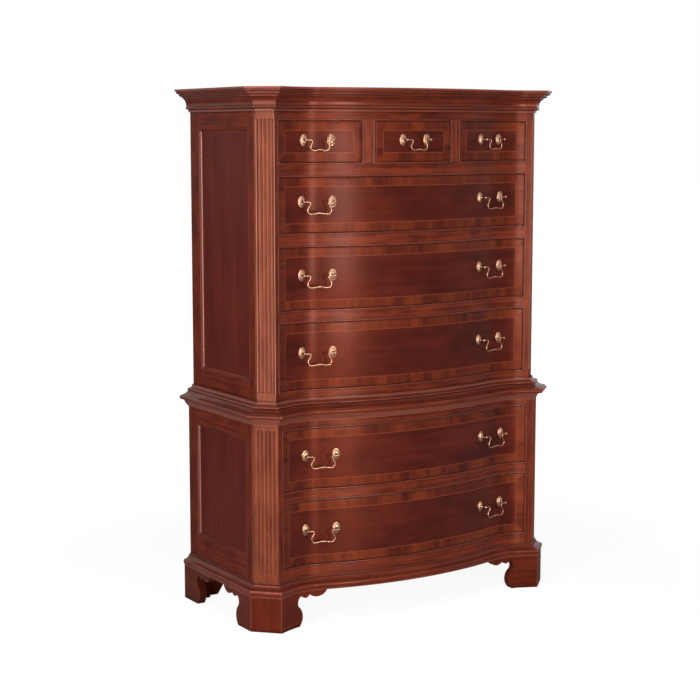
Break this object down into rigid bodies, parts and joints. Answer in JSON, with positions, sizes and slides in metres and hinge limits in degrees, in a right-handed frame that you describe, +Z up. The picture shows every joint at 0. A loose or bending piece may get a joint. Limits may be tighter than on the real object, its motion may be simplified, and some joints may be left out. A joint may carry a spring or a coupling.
{
  "type": "chest on chest",
  "caption": "Serpentine-fronted chest-on-chest: short drawers over long drawers in two cases with canted fluted corners, swan-neck bail pulls and scrolled bracket feet.",
  "frame": {"origin": "centre of the whole chest's footprint box at floor level", "axes": "+Z up, front towards -Y, +X to the right of someone who faces the front"},
  "size_m": [1.1186, 0.5381, 1.6],
  "materials": {
    "cherry": "satin lacquered reddish-brown cherry",
    "drawer_veneer": "satin cherry veneer with a string inlay and a cross-banded border",
    "side_veneer": "satin cherry veneer, grain upright",
    "secondary_wood": "plain sealed pale secondary wood",
    "brass": "lightly aged polished brass"
  },
  "bodies": {
    "carcass": {"cornice": "cherry", "waist_mouldings": "cherry", "base_moulding": "cherry", "top_board": "cherry", "lower_top_board": "cherry", "upper_front_rails": "cherry", "lower_front_rails": "cherry", "short_drawer_dividers": "cherry", "upper_corner_posts": "cherry", "lower_corner_posts": "cherry", "upper_side_frames": "cherry", "lower_side_frames": "cherry", "side_panels": "side_veneer", "upper_back_panel": "secondary_wood", "lower_back_panel": "secondary_wood", "upper_dust_panels": "secondary_wood", "lower_dust_panels": "secondary_wood", "drawer_guides": "secondary_wood", "drawer_stops": "secondary_wood", "front_bracket_feet": "cherry", "rear_bracket_feet": "cherry", "foot_blocks": "secondary_wood"},
    "drawer_1": {"drawer_front_1": "drawer_veneer", "drawer_box_1": "secondary_wood", "pull_mounts_1": "brass"},
    "drawer_2": {"drawer_front_2": "drawer_veneer", "drawer_box_2": "secondary_wood", "pull_mounts_2": "brass"},
    "drawer_3": {"drawer_front_3": "drawer_veneer", "drawer_box_3": "secondary_wood", "pull_mounts_3": "brass"},
    "drawer_4": {"drawer_front_4": "drawer_veneer", "drawer_box_4": "secondary_wood", "pull_mounts_4": "brass"},
    "drawer_5": {"drawer_front_5": "drawer_veneer", "drawer_box_5": "secondary_wood", "pull_mounts_5": "brass"},
    "drawer_6": {"drawer_front_6": "drawer_veneer", "drawer_box_6": "secondary_wood", "pull_mounts_6": "brass"},
    "drawer_7": {"drawer_front_7": "drawer_veneer", "drawer_box_7": "secondary_wood", "pull_mounts_7": "brass"},
    "drawer_8": {"drawer_front_8": "drawer_veneer", "drawer_box_8": "secondary_wood", "pull_mounts_8": "brass"},
    "bail_1": {"bail_1": "brass"},
    "bail_2": {"bail_2": "brass"},
    "bail_3": {"bail_3": "brass"},
    "bail_4_left": {"bail_4_left": "brass"},
    "bail_4_right": {"bail_4_right": "brass"},
    "bail_5_left": {"bail_5_left": "brass"},
    "bail_5_right": {"bail_5_right": "brass"},
    "bail_6_left": {"bail_6_left": "brass"},
    "bail_6_right": {"bail_6_right": "brass"},
    "bail_7_left": {"bail_7_left": "brass"},
    "bail_7_right": {"bail_7_right": "brass"},
    "bail_8_left": {"bail_8_left": "brass"},
    "bail_8_right": {"bail_8_right": "brass"}
  },
  "joints": [
    {"name": "drawer_1_slide", "type": "slide", "parent": "carcass", "child": "drawer_1", "axis": [0, -1, 0], "range_m": [0, 0.3]},
    {"name": "drawer_2_slide", "type": "slide", "parent": "carcass", "child": "drawer_2", "axis": [0, -1, 0], "range_m": [0, 0.3]},
    {"name": "drawer_3_slide", "type": "slide", "parent": "carcass", "child": "drawer_3", "axis": [0, -1, 0], "range_m": [0, 0.3]},
    {"name": "drawer_4_slide", "type": "slide", "parent": "carcass", "child": "drawer_4", "axis": [0, -1, 0], "range_m": [0, 0.3]},
    {"name": "drawer_5_slide", "type": "slide", "parent": "carcass", "child": "drawer_5", "axis": [0, -1, 0], "range_m": [0, 0.3]},
    {"name": "drawer_6_slide", "type": "slide", "parent": "carcass", "child": "drawer_6", "axis": [0, -1, 0], "range_m": [0, 0.3]},
    {"name": "drawer_7_slide", "type": "slide", "parent": "carcass", "child": "drawer_7", "axis": [0, -1, 0], "range_m": [0, 0.3]},
    {"name": "drawer_8_slide", "type": "slide", "parent": "carcass", "child": "drawer_8", "axis": [0, -1, 0], "range_m": [0, 0.3]},
    {"name": "bail_1_swing", "type": "hinge", "parent": "drawer_1", "child": "bail_1", "pos_m": [-0.31977, -0.19554, 1.448], "axis": [-0.973, 0.2308, 0], "range_deg": [-30, 100]},
    {"name": "bail_2_swing", "type": "hinge", "parent": "drawer_2", "child": "bail_2", "pos_m": [0, -0.24099, 1.448], "axis": [-1, 0, 0], "range_deg": [-30, 100]},
    {"name": "bail_3_swing", "type": "hinge", "parent": "drawer_3", "child": "bail_3", "pos_m": [0.31977, -0.19554, 1.448], "axis": [-0.973, -0.2308, 0], "range_deg": [-30, 100]},
    {"name": "bail_4_left_swing", "type": "hinge", "parent": "drawer_4", "child": "bail_4_left", "pos_m": [-0.32193, -0.19579, 1.268], "axis": [-0.9761, 0.2173, 0], "range_deg": [-30, 100]},
    {"name": "bail_4_right_swing", "type": "hinge", "parent": "drawer_4", "child": "bail_4_right", "pos_m": [0.32193, -0.19579, 1.268], "axis": [-0.9761, -0.2173, 0], "range_deg": [-30, 100]},
    {"name": "bail_5_left_swing", "type": "hinge", "parent": "drawer_5", "child": "bail_5_left", "pos_m": [-0.32193, -0.19579, 1.0515], "axis": [-0.9761, 0.2173, 0], "range_deg": [-30, 100]},
    {"name": "bail_5_right_swing", "type": "hinge", "parent": "drawer_5", "child": "bail_5_right", "pos_m": [0.32193, -0.19579, 1.0515], "axis": [-0.9761, -0.2173, 0], "range_deg": [-30, 100]},
    {"name": "bail_6_left_swing", "type": "hinge", "parent": "drawer_6", "child": "bail_6_left", "pos_m": [-0.32193, -0.19579, 0.8205], "axis": [-0.9761, 0.2173, 0], "range_deg": [-30, 100]},
    {"name": "bail_6_right_swing", "type": "hinge", "parent": "drawer_6", "child": "bail_6_right", "pos_m": [0.32193, -0.19579, 0.8205], "axis": [-0.9761, -0.2173, 0], "range_deg": [-30, 100]},
    {"name": "bail_7_left_swing", "type": "hinge", "parent": "drawer_7", "child": "bail_7_left", "pos_m": [-0.32208, -0.21366, 0.5135], "axis": [-0.9748, 0.2231, 0], "range_deg": [-30, 100]},
    {"name": "bail_7_right_swing", "type": "hinge", "parent": "drawer_7", "child": "bail_7_right", "pos_m": [0.32208, -0.21366, 0.5135], "axis": [-0.9748, -0.2231, 0], "range_deg": [-30, 100]},
    {"name": "bail_8_left_swing", "type": "hinge", "parent": "drawer_8", "child": "bail_8_left", "pos_m": [-0.32208, -0.21366, 0.2875], "axis": [-0.9748, 0.2231, 0], "range_deg": [-30, 100]},
    {"name": "bail_8_right_swing", "type": "hinge", "parent": "drawer_8", "child": "bail_8_right", "pos_m": [0.32208, -0.21366, 0.2875], "axis": [-0.9748, -0.2231, 0], "range_deg": [-30, 100]}
  ]
}
